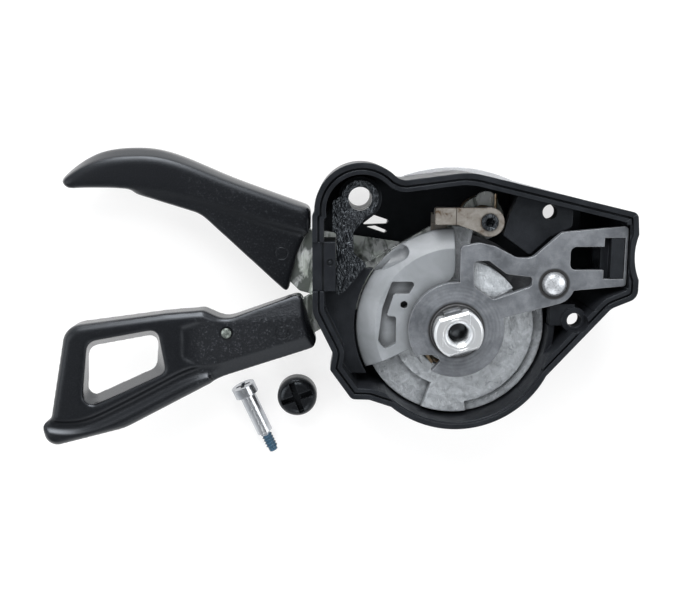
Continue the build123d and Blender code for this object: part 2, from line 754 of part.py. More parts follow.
def make_feed_ratchet():
    """Ratchet wheel with one sloped tooth gap for each gear."""
    wheel = rod(RATCHET_R, ratchet_z, ring_z)
    floor_r = RATCHET_R - TOOTH_DEPTH
    for step in range(-1, 2 * INDEX_STEPS + 1):
        face = FEED_TIP_TURN + INDEX_STEP * step + 2.0
        outer = RATCHET_R + 0.6
        last = face - INDEX_STEP + 1.0
        gap = Polygon(polar(floor_r, face), polar(outer, face), polar(outer, last), align=None)
        wheel -= slab(gap, ratchet_z, ring_z)
    return wheel - rod(axle_hole_r, ratchet_z, ring_z)


def make_cable_drum():
    """Crescent with a cable groove, a sloped flank, a scoop and the cable end's slot."""
    groove = DRUM_R - CABLE_D
    low = drum_z + DRUM_LIP
    high = low + CABLE_D
    profile = Polygon(
        (DRUM_IN_R, drum_z),
        (DRUM_R - 0.4, drum_z),
        (DRUM_R, low),
        (groove, low),
        (groove, high),
        (DRUM_R, high),
        (DRUM_TOP_R, drum_top),
        (DRUM_IN_R, drum_top),
        align=None,
    )
    section = Plane.XZ * profile
    drum = revolve(section, Axis.Z, DRUM_SPAN[1] - DRUM_SPAN[0])
    drum = Rot(0, 0, DRUM_SPAN[0]) * drum

    corner = drum.edges().filter_by(Axis.Z).sort_by_distance((*polar(DRUM_IN_R, DRUM_SPAN[0]), drum_top))[0]
    drum = fillet(corner, DRUM_CORNER)

    # Slot for the cable end, with the small drain hole beside it
    drum -= slab(outline(DRUM_SLOT), drum_top - DRUM_SLOT_D, drum_top)
    drum -= rod(DRAIN_R, drum_top - 1.5 * DRUM_SLOT_D, drum_top, DRAIN_AT)

    # Scoop that leads the cable off the flank
    start = Vector(*SCOOP_AT, drum_top - 0.9 * SCOOP_R)
    way = Vector(*SCOOP_DIR).normalized()
    drum -= extrude(Plane(start, z_dir=way) * Circle(SCOOP_R), SCOOP_L)
    return drum - Pos(*(start + way * SCOOP_L)) * Sphere(SCOOP_R)


def claw_turn():
    """Angle at which the hold pawl meets the index ring."""
    x = PAWL_NOSE_X + PAWL_LEG_W / 2
    return 180 - math.degrees(math.acos(-x / DISC_R))


def make_hold_pawl():
    """Pawl on its pin: eye, nose, and a leg that reaches under the drum to the ring."""
    x, y = pin_at
    nose_top = y + PAWL_EYE_R - 0.1
    nose_low = nose_top - PAWL_NOSE_W
    nose = outline(
        [
            (PAWL_NOSE_X, nose_top, 0.4),
            (PAWL_NOSE_X, nose_low, 0.3),
            (0.0, nose_low, 1.0),
            (x - 1.2, y - PAWL_EYE_R + 0.5, 0.4),
            (x + 0.6, y, 0.4),
            (x, nose_top, 0.2),
        ]
    )
    pawl = slab(nose + Pos(x, y) * Circle(PAWL_EYE_R), pawl_z, pawl_z + PAWL_T)
    leg_x = (PAWL_NOSE_X, PAWL_NOSE_X + PAWL_LEG_W)
    claw_low = claw_top - CLAW_T
    pawl += block(leg_x, (nose_low, nose_low + PAWL_LEG_T), (claw_low, pawl_z))
    claw = block(leg_x, (DISC_R * 0.9, nose_low + PAWL_LEG_T), (claw_low, claw_top))
    pawl += claw - rod(DISC_R + RUN_GAP, claw_low, claw_top)
    return pawl - rod(pin_hole_r, claw_low, pawl_z + PAWL_T, pin_at)


def make_pawl_pin():
    """Fixed pin with a six-sided recess in its end."""
    pin = rod(PIN_R, COVER_H, pawl_z + PAWL_T + 0.4, pin_at)
    recess = Pos(*pin_at) * RegularPolygon(PIN_R * 0.6, 6)
    return pin - slab(recess, pawl_z + PAWL_T - 1.0, pawl_z + PAWL_T + 0.4)


def main_arm_face():
    """Plan of the main lever plate from its eye out into the paddle."""
    low, high = MAIN_ARM_Y
    arm = outline(
        [
            (-4.0, -4.8, 1.0),
            (3.0, 5.6, 1.0),
            (-9.6, 15.6, 3.0),
            (-19.0, high - 0.4, 4.0),
            (MAIN_ARM_END, high + 2.0, 1.0),
            (MAIN_ARM_END, 2 * low, 1.0),
            (PADDLE_ROOT_X - 2.4, low, 1.0),
            (*MAIN_WAIST, 4.0),
        ]
    )
    eye = Circle(FEED_EYE_R + 1.0)
    lobe = Pos(*polar(FEED_AT_R, FEED_AT_TURN)) * eye
    web = outline(
        [
            (-6.0, -1.0, 0.5),
            (2.4, -5.4, 0.5),
            polar(FEED_AT_R + 1.0, FEED_AT_TURN + 9) + (1.5,),
            polar(FEED_AT_R + 1.0, FEED_AT_TURN - 12) + (1.5,),
        ]
    )
    return arm + Circle(AXLE_R + 3.8) + lobe + web


def make_main_plate():
    """Zinc-plated lever plate that turns on the main axle."""
    return slab(main_arm_face(), main_z, main_top) - rod(axle_hole_r, main_z, main_top)


def reach_x(root, reach, share):
    """Place along a lever, as a share of the way from its root to its tip."""
    return root - share * (root + reach)


def paddle_at(share, y):
    """Point on the paddle, by its share of the paddle's reach."""
    return reach_x(PADDLE_ROOT_X, PADDLE_REACH, share), y


def paddle_face(drop):
    """Plan of the paddle's bar, with its north edge and tip set in by a share of their slope."""
    low_y, high_y = PADDLE_ROOT_Y
    tip = [Vector(*paddle_at(share, y)) + Vector(drop * PADDLE_TIP_IN, 0) for share, y, _ in PADDLE_TIP]
    edge = [paddle_at(share, y - drop * slope) for share, y, slope in PADDLE_NORTH]
    end = paddle_at(0, high_y - drop * PADDLE_TOP_EDGE)
    north = Spline(tip[2], *edge, end)
    south = Spline(paddle_at(0, low_y), *[paddle_at(*p) for p in PADDLE_SOUTH], tip[0])
    face = Face(Wire([north, Line(end, paddle_at(0, low_y)), south, ThreePointArc(*tip)]))
    return face if face.normal_at().Z > 0 else -face


def make_main_paddle():
    """Moulded paddle: deep bar with a sloped flank and a flat web, slotted for its plate."""
    low_y, high_y = PADDLE_ROOT_Y
    web = outline(
        [
            (*paddle_at(0, high_y), 0.5),
            (*paddle_at(0.61, low_y + 11.0), 3.0),
            (*paddle_at(0.76, low_y + 9.0), 1.0),
            (*paddle_at(0.44, low_y + 4.0), 6.0),
            (-WEB_FOOT, MAIN_ARM_Y[0] - 0.6, 0.5),
            (PADDLE_ROOT_X - 2.6, low_y - 4.0, 3.0),
            (*paddle_at(0, low_y + 1.8), 1.0),
        ]
    )
    middle = PADDLE_Z + PADDLE_FLANK * PADDLE_H
    solid = slab(paddle_face(0), PADDLE_Z, middle)
    solid = fillet(solid.faces().sort_by(Axis.Z)[0].edges(), PADDLE_LOW_EDGE)
    solid += loft([Pos(0, 0, middle) * paddle_face(0), Pos(0, 0, PADDLE_Z + PADDLE_H) * paddle_face(1)])
    solid += slab(web, WEB_Z, WEB_Z + WEB_H)
    return solid - slab(main_arm_face(), main_z, main_top)


def feed_at():
    """Centre of the feed pawl's pin."""
    return polar(FEED_AT_R, FEED_AT_TURN)


def make_feed_pin():
    """Pin on the main lever plate for the feed pawl."""
    return rod(FEED_PIN_R, main_top, ratchet_z + FEED_T + 0.3, feed_at())


def make_feed_pawl():
    """Driving pawl, held just clear of the ratchet."""
    x, y = feed_at()
    tip = polar(RATCHET_R - 0.6 * TOOTH_DEPTH, FEED_TIP_TURN)
    reach = math.hypot(tip[0] - x, tip[1] - y)
    turn = math.degrees(math.atan2(tip[1] - y, tip[0] - x)) - FEED_LIFT
    nose = Polygon((0, FEED_TIP_W), (0, -FEED_EYE_R), (reach, -FEED_TIP_W), (reach, 0), align=None)
    plan = Pos(x, y) * (Rot(0, 0, turn) * nose + Circle(FEED_EYE_R))
    pawl = slab(plan, ratchet_z, ratchet_z + FEED_T)
    return pawl - rod(FEED_PIN_R + SHAFT_CLEAR, ratchet_z, ratchet_z + FEED_T, (x, y))


def make_release_plate():
    """Lever plate on the pawl pin, cranked up outside the case into the grip."""
    x, y = pin_at
    half = RELEASE_ARM_W / 2
    run_x = GRIP_ROOT[0] - x
    run_y = GRIP_ROOT[1] - y
    length = math.hypot(run_x, run_y)
    turn = math.degrees(math.atan2(run_y, run_x))
    arm = Rot(0, 0, turn) * Pos(length / 2, 0) * Rectangle(length, RELEASE_ARM_W)
    eye = Circle(RELEASE_EYE_R) + Pos(0.8, 3.0) * Circle(RELEASE_EYE_R - 2.0)
    plan = Pos(x, y) * (arm + eye)
    plate = slab(plan, release_z, release_top)

    # The tongue is cranked up by a sloped step, seen here from its edge
    rise = release_z + JOGGLE_RISE
    end = JOGGLE_RUN + TONGUE_L
    edge = Polygon(
        (-half, release_z),
        (0, release_z),
        (JOGGLE_RUN, rise),
        (end, rise),
        (end, rise + RELEASE_T),
        (JOGGLE_RUN, rise + RELEASE_T),
        (0, release_top),
        (-half, release_top),
        align=None,
    )
    tongue = extrude(Plane.XZ * edge, half, both=True)
    plate += Pos(*GRIP_ROOT) * Rot(0, 0, TONGUE_TURN) * tongue
    return plate - rod(pin_hole_r, release_z, release_top, pin_at)


def grip_at(share, y):
    """Point on the grip, by its share of the grip's reach."""
    return reach_x(GRIP_ROOT[0], GRIP_REACH, share), y


def bevel(start, end, level, tilt):
    """Space above a plane that falls away to the right of the line between two points."""
    first = Vector(*start, level)
    along = Vector(*end, level) - first
    out = along.cross(Vector(0, 0, 1)).normalized()
    lean = math.radians(tilt)
    normal = Vector(0, 0, 1) * math.cos(lean) + out * math.sin(lean)
    face = Plane(first + along / 2, x_dir=along, z_dir=normal)
    wide = 4 * GRIP_H
    return extrude(face * Rectangle(along.length, wide), wide)


def grip_corners(corners):
    """Outline of the grip from corners (share of the reach, y, radius)."""
    return outline([(*grip_at(share, y), r) for share, y, r in corners])


def make_release_grip():
    """Looped grip moulded round the end of its plate."""
    grip = slab(grip_corners(GRIP_OUTLINE), grip_z, grip_top)
    grip = chamfer(grip.faces().sort_by(Axis.Z)[-1].edges(), GRIP_BEVEL)
    window = [Pos(0, 0, grip_z) * grip_corners(WINDOW_FAR), Pos(0, 0, grip_top) * grip_corners(WINDOW_NEAR)]
    grip -= loft(window, ruled=True)

    # The arm lies lower than the loop, with sloped sides and a sloped end
    arm_top = grip_top - GRIP_SINK
    grip -= slab(grip_corners(ARM_SINK), arm_top, grip_top)
    grip -= bevel(grip_at(0.4, -8.4), grip_at(0.02, -1.7), arm_top, GRIP_TILT_LOW)
    grip -= bevel(grip_at(0.0, 1.9), grip_at(0.33, 0.4), arm_top, GRIP_TILT_HIGH)
    grip -= bevel(grip_at(0.02, -8.0), grip_at(0.1, 10.0), grip_top, GRIP_TILT_END)

    # Groove that parts the lip on the lower edge from the flat
    level = grip_top + 0.25 * GRIP_GROOVE_R
    path = Spline(*[Vector(*grip_at(*p), level) for p in LIP_LINE])
    grip -= sweep(Plane(path @ 0, z_dir=path % 0) * Circle(GRIP_GROOVE_R), path=path)
    grip -= make_release_plate()
    return grip - rod(GRIP_RIVET_R, grip_z, grip_top, grip_at(*GRIP_RIVET))


def make_grip_rivet():
    """Bright pin through the grip."""
    return rod(GRIP_RIVET_R, grip_z, grip_top - GRIP_SINK + GRIP_RIVET_HEAD, grip_at(*GRIP_RIVET))


def make_shoulder_screw():
    """Screw taken out of the case, lying on its head and tip."""
    head = extrude(Circle(SCREW_HEAD_R), SCREW_HEAD_H)
    shank = Pos(0, 0, SCREW_HEAD_H) * extrude(Circle(SCREW_SHANK_R), SCREW_SHANK_L)
    tip = Pos(0, 0, SCREW_HEAD_H + SCREW_SHANK_L) * extrude(Circle(SCREW_TIP_R), SCREW_TIP_L)
    drive = Rectangle(3.2, 0.8) + Rectangle(0.8, 3.2)
    screw = head + shank + tip - extrude(drive, 1.2)
    reach = SCREW_SHANK_L + SCREW_TIP_L
    droop = math.degrees(math.asin((SCREW_HEAD_R - SCREW_TIP_R) / reach))
    laid = Rot(0, 0, SCREW_TURN) * Rot(0, 90 + droop, 0) * screw
    return Pos(SCREW_AT[0], SCREW_AT[1], -laid.bounding_box().min.Z) * laid


def make_port_plug():
    """Plug unscrewed from the cable port, standing on its stem."""
    stem = rod(PORT_BORE_R - SHAFT_CLEAR, 0, PLUG_STEM_L)
    head = rod(PLUG_HEAD_R, PLUG_STEM_L, PLUG_STEM_L + PLUG_HEAD_H)
    head = fillet(head.faces().sort_by(Axis.Z)[-1].edges(), PLUG_DOME)
    top = PLUG_STEM_L + PLUG_HEAD_H
    span = 2 * PLUG_HEAD_R - 1.6
    cross = Rectangle(span, PLUG_SLOT_W) + Rectangle(PLUG_SLOT_W, span)
    plug = stem + head - slab(Rot(0, 0, 20) * cross, top - PLUG_SLOT_D, top)
    return Pos(PLUG_AT[0], PLUG_AT[1], 0) * plug


def make_springs():
    """Wire springs, each wound about the shaft that it serves."""
    return {
        "winder_spring": coil(WINDER_COIL_R, WIRE, 1.6, plate_z - 2.6, leg=WINDER_LEG),
        "lever_spring": coil(LEVER_COIL_R, LEVER_WIRE, 1.4, floor_top, leg=LEVER_LEG),
        "pawl_spring": coil(PIN_COIL_R, PIN_WIRE, 2.0, release_top + SIDE_GAP, pin_at, leg=PAWL_LEG),
        "release_spring": coil(RELEASE_COIL_R, WIRE, 1.5, floor_top, pin_at, leg=RELEASE_LEG),
    }


pieces = {
    "case_floor": make_case_floor(),
    **make_case_walls(),
    "base_screw_pad": make_screw_pad(),
    "base_screw_boss": make_screw_boss(),
    "mount_boss": make_mount_boss(),
    "cable_port_boss": make_port_boss(),
    "cable_exit_boss": make_exit_boss(),
    "outer_cover": make_outer_cover(),
    "mount_plate": make_mount_plate(),
    "main_axle": make_main_axle(),
    "lever_spacer": make_lever_spacer(),
    "axle_nut": make_axle_nut(),
    "lock_washer": make_lock_washer(),
    "top_plate": make_top_plate(),
    "plate_post": make_plate_post(),
    "pawl_pin": make_pawl_pin(),
    "index_disc": make_index_disc(),
    "index_ring": make_index_ring(),
    "feed_ratchet": make_feed_ratchet(),
    "cable_drum": make_cable_drum(),
    "hold_pawl": make_hold_pawl(),
    "main_lever_plate": make_main_plate(),
    "main_lever_paddle": make_main_paddle(),
    "feed_pawl_pin": make_feed_pin(),
    "feed_pawl": make_feed_pawl(),
    "release_lever_plate": make_release_plate(),
    "release_lever_grip": make_release_grip(),
    "release_lever_rivet": make_grip_rivet(),
    "shoulder_screw": make_shoulder_screw(),
    "cable_port_plug": make_port_plug(),
}
pieces.update(make_springs())

os.makedirs("parts", exist_ok=True)
for name, solid in pieces.items():
    export_step(solid, f"parts/{name}.step")
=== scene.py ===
"""Dresses the trigger gear shifter: materials, small detail, floor, light and camera.

Lengths are in metres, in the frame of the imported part.
"""

import math

import bpy
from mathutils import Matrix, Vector


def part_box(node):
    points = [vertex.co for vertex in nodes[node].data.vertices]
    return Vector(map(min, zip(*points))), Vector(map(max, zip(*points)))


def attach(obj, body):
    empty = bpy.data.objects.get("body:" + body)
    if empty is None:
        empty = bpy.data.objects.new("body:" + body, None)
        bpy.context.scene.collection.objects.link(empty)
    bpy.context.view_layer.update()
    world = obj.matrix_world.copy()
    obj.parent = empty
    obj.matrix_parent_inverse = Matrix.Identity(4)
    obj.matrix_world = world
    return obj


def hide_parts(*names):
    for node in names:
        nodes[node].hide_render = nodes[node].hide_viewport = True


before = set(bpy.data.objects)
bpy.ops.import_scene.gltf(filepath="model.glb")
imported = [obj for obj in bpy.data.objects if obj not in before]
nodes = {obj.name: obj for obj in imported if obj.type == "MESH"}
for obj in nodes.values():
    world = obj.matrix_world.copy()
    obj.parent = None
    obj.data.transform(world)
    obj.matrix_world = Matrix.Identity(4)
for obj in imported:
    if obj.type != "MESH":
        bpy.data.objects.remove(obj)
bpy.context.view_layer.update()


def middle(node):
    """Middle of a node as seen along the axle."""
    low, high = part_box(node)
    return (low[0] + high[0]) / 2, (low[1] + high[1]) / 2


MM = 0.001
AXLE = (0.0, 0.0)
UP = Vector((0, 0, 1))

# Case and axle
LEFT_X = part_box("cable_port_boss")[0][0]
AXLE_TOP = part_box("main_axle")[1][2]
AXLE_BORE_R = 2.1 * MM

# Turned hub of the top plate, and where grease has gathered on the plate
HUB_R = 8.6 * MM
HUB_TURNING = 9000.0
GREASE_RINGS = ((middle("plate_post"), 2.55 * MM), (AXLE, 5.0 * MM))

# Ejector marks on the levers, and where their grain ends
PADDLE_MARK = (-34.4 * MM, 13.6 * MM)
PADDLE_SMOOTH_X = -52 * MM
GRIP_MARK = (-33.9 * MM, -1.4 * MM)
GRIP_SMOOTH_X = -50 * MM
LEVER_MARK_R = 1.25 * MM

# Marks on the cable port block, from its left side and its middle
PORT_SEAM_IN = 2.0 * MM
PORT_MARK_IN = 3.4 * MM
PORT_MARK_UP = 0.8 * MM
PORT_MARK_R = 0.5 * MM

# Seam across the nose of the pawl
PAWL_SEAM_X = -0.3 * MM

# Rounding of the moulded levers
LEVER_CELL = 0.35 * MM
PADDLE_PASSES = 50
GRIP_PASSES = 8

# Where the loose screw lies: the middle of its head's end, its direction and its sizes
SCREW_AT = (-43.5 * MM, -16.1 * MM)
SCREW_TURN = math.radians(-67.0)
SCREW_HEAD_R = 2.6 * MM
SCREW_TIP_R = 1.2 * MM
SCREW_HEAD_H = 2.2 * MM
SCREW_SHANK_L = 9.4 * MM
SCREW_TIP_L = 4.8 * MM
SCREW_PATCH_IN = 0.6 * MM

screw_droop = math.asin((SCREW_HEAD_R - SCREW_TIP_R) / (SCREW_SHANK_L + SCREW_TIP_L))
screw_way = Vector((math.cos(SCREW_TURN), math.sin(SCREW_TURN), 0)) * math.cos(screw_droop)
screw_way.z = -math.sin(screw_droop)
screw_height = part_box("shoulder_screw")[1][2] - SCREW_HEAD_R * math.cos(screw_droop)
screw_start = Vector((*SCREW_AT, screw_height))
screw_tip_at = SCREW_HEAD_H + SCREW_SHANK_L

# Threads
THREAD_STEPS = 28
THREAD_HALF_WIDTH = 0.42
THREAD_END = 0.05
BORE_THREAD_FROM = 5.4 * MM
BORE_THREAD_L = 4.8 * MM
BORE_THREAD_SUNK = 0.04 * MM
BORE_THREAD_DEEP = 0.22 * MM
BORE_PITCH = 0.8 * MM
SCREW_ROOT_R = 0.92 * MM
SCREW_THREAD_SUNK = 0.03 * MM
SCREW_THREAD_IN = 0.4 * MM
SCREW_PITCH = 0.7 * MM
CLOSE = 0.01 * MM

# Camera where the photograph was taken from
CAMERA_AT = (-22.45 * MM, 35.14 * MM, 193.0 * MM)
CAMERA_TILT = math.radians(9.7)
CAMERA_LENS = 47.9
CAMERA_SENSOR = 36.0
CAMERA_NEAR = 5.0 * MM

# Shine of black plastic under a cool sky
COOL_SHINE = (0.82, 0.91, 1.0, 1.0)
PLASTIC_SHINE = 0.28


class Paint:
    """One material, built from its own nodes on the piece's own coordinates."""

    def __init__(self, name):
        self.mat = bpy.data.materials.new(name)
        self.mat.use_nodes = True
        self.tree = self.mat.node_tree
        self.tree.nodes.clear()
        out = self.add("OutputMaterial")
        self.bsdf = self.add("BsdfPrincipled")
        self.tree.links.new(self.bsdf.outputs[0], out.inputs[0])
        self.coords = self.add("TexCoord").outputs["Object"]
        self.normal = self.add("NewGeometry").outputs["Normal"]

    def add(self, kind):
        """New shader node."""
        return self.tree.nodes.new("ShaderNode" + kind)

    def link(self, value, target):
        """Sets an input from a socket, a colour or a number."""
        if isinstance(value, bpy.types.NodeSocket):
            self.tree.links.new(value, target)
        elif isinstance(value, (tuple, list)) and len(value) == 3 and target.type == "RGBA":
            target.default_value = (*value, 1.0)
        else:
            target.default_value = value

    def set(self, **inputs):
        """Sets inputs of the shader, with _ in place of a space in their names."""
        for name, value in inputs.items():
            self.link(value, self.bsdf.inputs[name.replace("_", " ")])

    def scaled(self, stretch):
        """The piece's coordinates, stretched along its axes."""
        node = self.add("Mapping")
        self.link(self.coords, node.inputs["Vector"])
        node.inputs["Scale"].default_value = stretch
        return node.outputs[0]

    def noise(self, scale, detail=4.0, rough=0.55, stretch=None, bend=0.0):
        """Cloudy pattern, with scale in features per metre."""
        node = self.add("TexNoise")
        self.link(self.scaled(stretch) if stretch else self.coords, node.inputs["Vector"])
        node.inputs["Scale"].default_value = scale
        node.inputs["Detail"].default_value = detail
        node.inputs["Roughness"].default_value = rough
        node.inputs["Distortion"].default_value = bend
        return node.outputs["Fac"]

    def cells(self, scale, stretch):
        """Distance to the nearest cell centre, with scale in cells per metre."""
        node = self.add("TexVoronoi")
        self.link(self.scaled(stretch), node.inputs["Vector"])
        node.inputs["Scale"].default_value = scale
        return node.outputs["Distance"]

    def ramp(self, fac, low, high, to=(0.0, 1.0)):
        """Number between two limits, stretched to a new range and held there."""
        node = self.add("MapRange")
        self.link(fac, node.inputs["Value"])
        node.inputs["From Min"].default_value = low
        node.inputs["From Max"].default_value = high
        node.inputs["To Min"].default_value = to[0]
        node.inputs["To Max"].default_value = to[1]
        return node.outputs["Result"]

    def mix(self, fac, first, second):
        """Colour between two colours."""
        node = self.add("Mix")
        node.data_type = "RGBA"
        self.link(fac, node.inputs[0])
        self.link(first, node.inputs[6])
        self.link(second, node.inputs[7])
        return node.outputs[2]

    def maths(self, work, first, second=0.0):
        """One sum on one or two numbers."""
        node = self.add("Math")
        node.operation = work
        self.link(first, node.inputs[0])
        self.link(second, node.inputs[1])
        return node.outputs[0]

    def times(self, first, second):
        """Product of two numbers."""
        return self.maths("MULTIPLY", first, second)

    def vectors(self, work, first, second):
        """One sum on two vectors."""
        node = self.add("VectorMath")
        node.operation = work
        self.link(first, node.inputs[0])
        self.link(second, node.inputs[1])
        return node

    def axis(self, source, name):
        """One part of a vector, X, Y or Z."""
        node = self.add("SeparateXYZ")
        self.link(source, node.inputs[0])
        return node.outputs[name]

    def facing_up(self, low, high):
        """1 where the surface faces up the axle, 0 where it turns away."""
        return self.ramp(self.axis(self.normal, "Z"), low, high)

    def edge(self, radius):
        """Normal that is rounded over edges."""
        node = self.add("Bevel")
        node.samples = 4
        node.inputs["Radius"].default_value = radius
        return node.outputs[0]

    def rubbed(self, radius):
        """1 at edges that hands and other pieces rub, 0 on flats."""
        turned = self.vectors("DOT_PRODUCT", self.edge(radius), self.normal)
        return self.ramp(turned.outputs["Value"], 0.985, 0.86)

    def crevice(self, reach):
        """1 in corners and slots that ambient occlusion finds shaded, 0 on open surfaces: the mask for
        painted shade, and for the grime that gathers there.
        """
        node = self.add("AmbientOcclusion")
        node.samples = 6
        node.inputs["Distance"].default_value = reach
        return self.ramp(node.outputs["AO"], 0.5, 0.94, (1.0, 0.0))

    def bump(self, height, depth, normal=None):
        """Fine relief of a depth in metres."""
        node = self.add("Bump")
        self.link(height, node.inputs["Height"])
        node.inputs["Distance"].default_value = depth
        if normal is not None:
            self.link(normal, node.inputs["Normal"])
        return node.outputs[0]

    def near(self, centre):
        """Distance from a line up the axle through a point, in metres."""
        offset = self.vectors("SUBTRACT", self.coords, (*centre, 0.0)).outputs[0]
        flat = self.vectors("MULTIPLY", offset, (1.0, 1.0, 0.0)).outputs[0]
        length = self.add("VectorMath")
        length.operation = "LENGTH"
        self.link(flat, length.inputs[0])
        return length.outputs["Value"]

    def off(self, number, value):
        """How far a number is from a value."""
        return self.maths("ABSOLUTE", self.maths("SUBTRACT", number, value))

    def ring(self, centre, radius, width):
        """1 on a thin circle about a point, 0 off it."""
        return self.ramp(self.off(self.near(centre), radius), 0.5 * width, width, (1.0, 0.0))

    def along(self, start, way):
        """Distance along a line from a point, in metres."""
        offset = self.vectors("SUBTRACT", self.coords, start).outputs[0]
        return self.vectors("DOT_PRODUCT", offset, way).outputs["Value"]


def black_moulding(name, grain, dark, pale, rough):
    """Glass-filled black plastic: fine grain, faint cloudy wear and duller patches."""
    p = Paint(name)
    cloud = p.noise(160, detail=5)
    fine = p.noise(2600, detail=3)
    p.set(Base_Color=p.mix(p.ramp(cloud, 0.35, 0.7), dark, pale))
    p.set(Roughness=p.ramp(p.noise(420), 0.3, 0.7, rough))
    p.set(Specular_IOR_Level=PLASTIC_SHINE, Specular_Tint=COOL_SHINE)
    p.set(Normal=p.bump(fine, grain, p.edge(0.3 * MM)))
    return p.mat


def port_moulding(name, node):
    """Black plastic of the cable port block, with a seam along it and one ejector mark."""
    p = Paint(name)
    plain = (0.009, 0.0098, 0.012)
    deep = (0.0012, 0.0013, 0.0016)
    off_seam = p.off(p.axis(p.coords, "X"), LEFT_X + PORT_SEAM_IN)
    seam = p.ramp(off_seam, 0.12 * MM, 0.24 * MM, (1.0, 0.0))
    mark_at = (LEFT_X + PORT_MARK_IN, middle(node)[1] + PORT_MARK_UP)
    cut = p.maths("MAXIMUM", seam, p.ring(mark_at, PORT_MARK_R, 0.24 * MM))
    height = p.maths("SUBTRACT", p.times(p.noise(2600, detail=3), 0.12), cut)
    p.set(Base_Color=p.mix(cut, plain, deep))
    p.set(Roughness=p.ramp(p.noise(420), 0.3, 0.7, (0.3, 0.46)))
    p.set(Specular_IOR_Level=PLASTIC_SHINE, Specular_Tint=COOL_SHINE)
    p.set(Normal=p.bump(height, 0.25 * MM, p.edge(0.3 * MM)))
    return p.mat


def lever_moulding(name, mark, smooth_past, grain, glint_strength):
    """Lever plastic: coarse moulded grain on the flats with painted glints on it, a smoother end, one
    ejector mark.
    """
    p = Paint(name)
    dark = (0.003, 0.0034, 0.0044)
    pale = (0.008, 0.0088, 0.0108)
    glint = (0.075, 0.081, 0.092)
    near_plate = p.ramp(p.axis(p.coords, "X"), smooth_past - 3 * MM, smooth_past)
    flat = p.times(p.facing_up(0.93, 0.985), near_plate)
    coarse = p.noise(2300, detail=3, rough=0.6)
    fine = p.noise(3600, detail=2)
    height = p.times(coarse, p.ramp(flat, 0, 1, (0.06, 1.0)))
    height = p.maths("SUBTRACT", height, p.ring(mark, LEVER_MARK_R, 0.22 * MM))
    base = p.mix(p.ramp(fine, 0.45, 0.75), dark, pale)
    # Light specks on the grained flats: painted glints.
    glint_specks = p.times(p.ramp(coarse, 0.56, 0.72), p.times(flat, glint_strength))
    top = p.facing_up(0.55, 0.96)
    p.set(Base_Color=p.mix(glint_specks, base, glint))
    p.set(Roughness=p.ramp(top, 0, 1, (0.24, 0.38)))
    p.set(Specular_IOR_Level=p.ramp(top, 0, 1, (0.62, 0.26)), Specular_Tint=(0.86, 0.92, 1.0, 1.0))
    p.set(Normal=p.bump(height, grain, p.edge(0.3 * MM)))
    return p.mat


def greasy_steel(name):
    """Black coated steel under streaked grease."""
    p = Paint(name)
    dark = (0.003, 0.0034, 0.0042)
    pale = (0.012, 0.0132, 0.0155)
    streak = p.noise(780, detail=2, rough=0.5, stretch=(1.0, 0.45, 1.0), bend=1.6)
    p.set(Base_Color=p.mix(p.ramp(streak, 0.45, 0.7), dark, pale))
    p.set(Roughness=p.ramp(p.noise(900, detail=3), 0.3, 0.7, (0.12, 0.26)))
    p.set(Specular_Tint=COOL_SHINE)
    p.set(Normal=p.bump(streak, 0.9 * MM, p.edge(0.25 * MM)))
    return p.mat


def dark_plate(name, dark, pale, greased=()):
    """Phosphated steel: speckling, turned rings about the axle, rubbed patches, rings of dark grease, and
    painted shade with grime in its corners.
    """
    p = Paint(name)
    rubbed_patch = (0.22, 0.232, 0.25)
    rubbed_edge = (0.34, 0.35, 0.365)
    grease = (0.022, 0.022, 0.023)
    dirt_and_shade = (0.02, 0.02, 0.021)
    cloud = p.noise(240, detail=5)
    fine = p.noise(1900, rough=0.65)
    worn = p.ramp(p.noise(560, detail=5, rough=0.6), 0.5, 0.7)
    turned = p.maths("SINE", p.times(p.near(AXLE), HUB_TURNING))
    hub = p.ramp(p.near(AXLE), HUB_R, HUB_R + 0.7 * MM, (1.0, 0.0))
    base = p.mix(p.ramp(cloud, 0.35, 0.7), dark, pale)
    base = p.mix(p.times(worn, 0.4), base, rubbed_patch)
    base = p.mix(p.ramp(p.noise(4200, detail=3, rough=0.7), 0.5, 0.75, (0.0, 0.5)), base, dark)
    for centre, radius in greased:
        base = p.mix(p.ring(centre, radius, 0.6 * MM), base, grease)
    base = p.mix(p.times(p.rubbed(0.3 * MM), 0.55), base, rubbed_edge)
    # Ambient occlusion darkens the corners: painted shade, with the grime that gathers there.
    base = p.mix(p.times(p.crevice(0.9 * MM), 0.85), base, dirt_and_shade)
    height = p.maths("ADD", fine, p.times(p.times(turned, hub), 0.35))
    p.set(Base_Color=base, Metallic=0.35)
    p.set(Roughness=p.ramp(fine, 0.3, 0.7, (0.36, 0.54)))
    p.set(Normal=p.bump(height, 0.035 * MM, p.edge(0.35 * MM)))
    return p.mat


def zinc_nodes(p, tint, rough, metal=0.7, pale=(0.8, 0.82, 0.84), wavy=0.15):
    """Gives zinc plating its gloss and scratches, and returns its colour."""
    cloud = p.noise(330)
    wave = p.noise(210, detail=2)
    scratch = p.noise(1500, detail=3, rough=0.6, stretch=(1.0, 0.12, 1.0))
    height = p.maths("ADD", p.times(scratch, 0.05), p.times(wave, wavy))
    p.set(Metallic=metal, Roughness=p.ramp(scratch, 0.3, 0.7, rough))
    p.set(Normal=p.bump(height, 0.3 * MM, p.edge(0.2 * MM)))
    return p.mix(p.ramp(cloud, 0.35, 0.65), pale, tint)


def bright_zinc(name, tint, rough):
    """Zinc-plated steel with faint tints and fine scratches, darkened in its corners as painted shade
    with grime.
    """
    p = Paint(name)
    dirt_and_shade = (0.05, 0.053, 0.057)
    base = zinc_nodes(p, tint, rough)
    # Ambient occlusion darkens the corners: painted shade, with the grime that gathers there.
    p.set(Base_Color=p.mix(p.times(p.crevice(0.7 * MM), 0.8), base, dirt_and_shade))
    return p.mat


